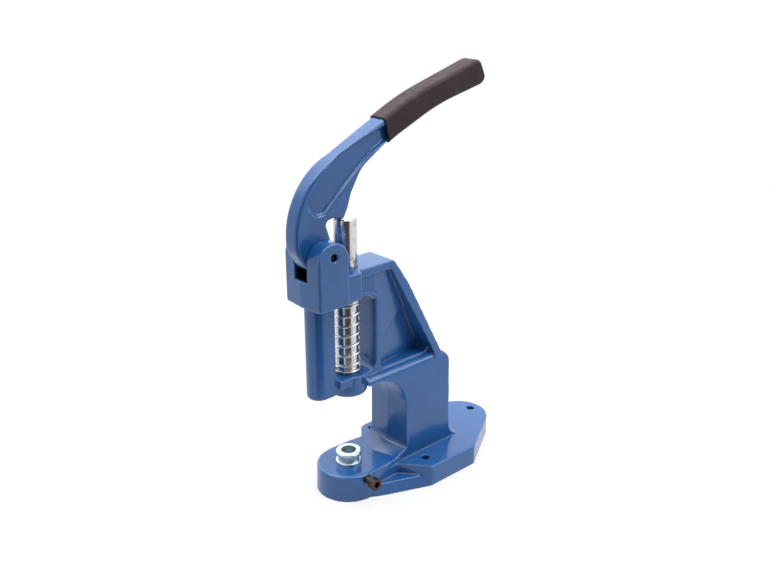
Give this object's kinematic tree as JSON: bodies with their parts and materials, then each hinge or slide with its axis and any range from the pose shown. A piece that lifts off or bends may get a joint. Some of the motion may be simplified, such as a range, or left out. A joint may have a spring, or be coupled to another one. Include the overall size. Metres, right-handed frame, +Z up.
{
  "type": "hand lever eyelet press",
  "caption": "Bench eyelet press: cast C-frame, curved hand lever on a pin, sprung round ram over a round die holder.",
  "frame": {"origin": "on the base's flat bottom face, on the axis of the ram and the die holder", "axes": "+Z up along the ram; +Y from the nose back to the column; +X the side of the clamp screw"},
  "size_m": [0.0928, 0.2114, 0.3415],
  "materials": {
    "blue_paint": "glossy enamel on cast iron",
    "black_sleeve": "satin shrink sleeve",
    "steel": "ground",
    "chrome": "bright plated",
    "spring_chrome": "bright plated wire",
    "zinc_steel": "zinc plated",
    "black_steel": "black oxide"
  },
  "bodies": {
    "frame": {"frame_casting": "blue_paint", "pivot_pin": "steel", "die_holder": "chrome", "die_clamp_screw": "black_steel", "return_spring": "spring_chrome"},
    "lever": {"hand_lever": "blue_paint", "grip_sleeve": "black_sleeve"},
    "ram": {"ram": "chrome", "spring_collar": "zinc_steel", "collar_ring": "black_steel"}
  },
  "joints": [
    {"name": "lever_pivot", "type": "hinge", "parent": "frame", "child": "lever", "pos_m": [0, -0.0275, 0.2142], "axis": [-1, 0, 0], "range_deg": [0, 50], "stiffness_Nm_per_rad": 0.86, "springref_deg": -38.85},
    {"name": "ram_slide", "type": "slide", "parent": "frame", "child": "ram", "axis": [0, 0, -1], "range_m": [0, 0.02388], "stiffness_N_per_m": 5, "springref_m": -0.6, "deforming": ["return_spring"]}
  ],
  "couplings": [
    {"joint": "ram_slide", "follows": "lever_pivot", "m_per_rad": 0.027351}
  ]
}
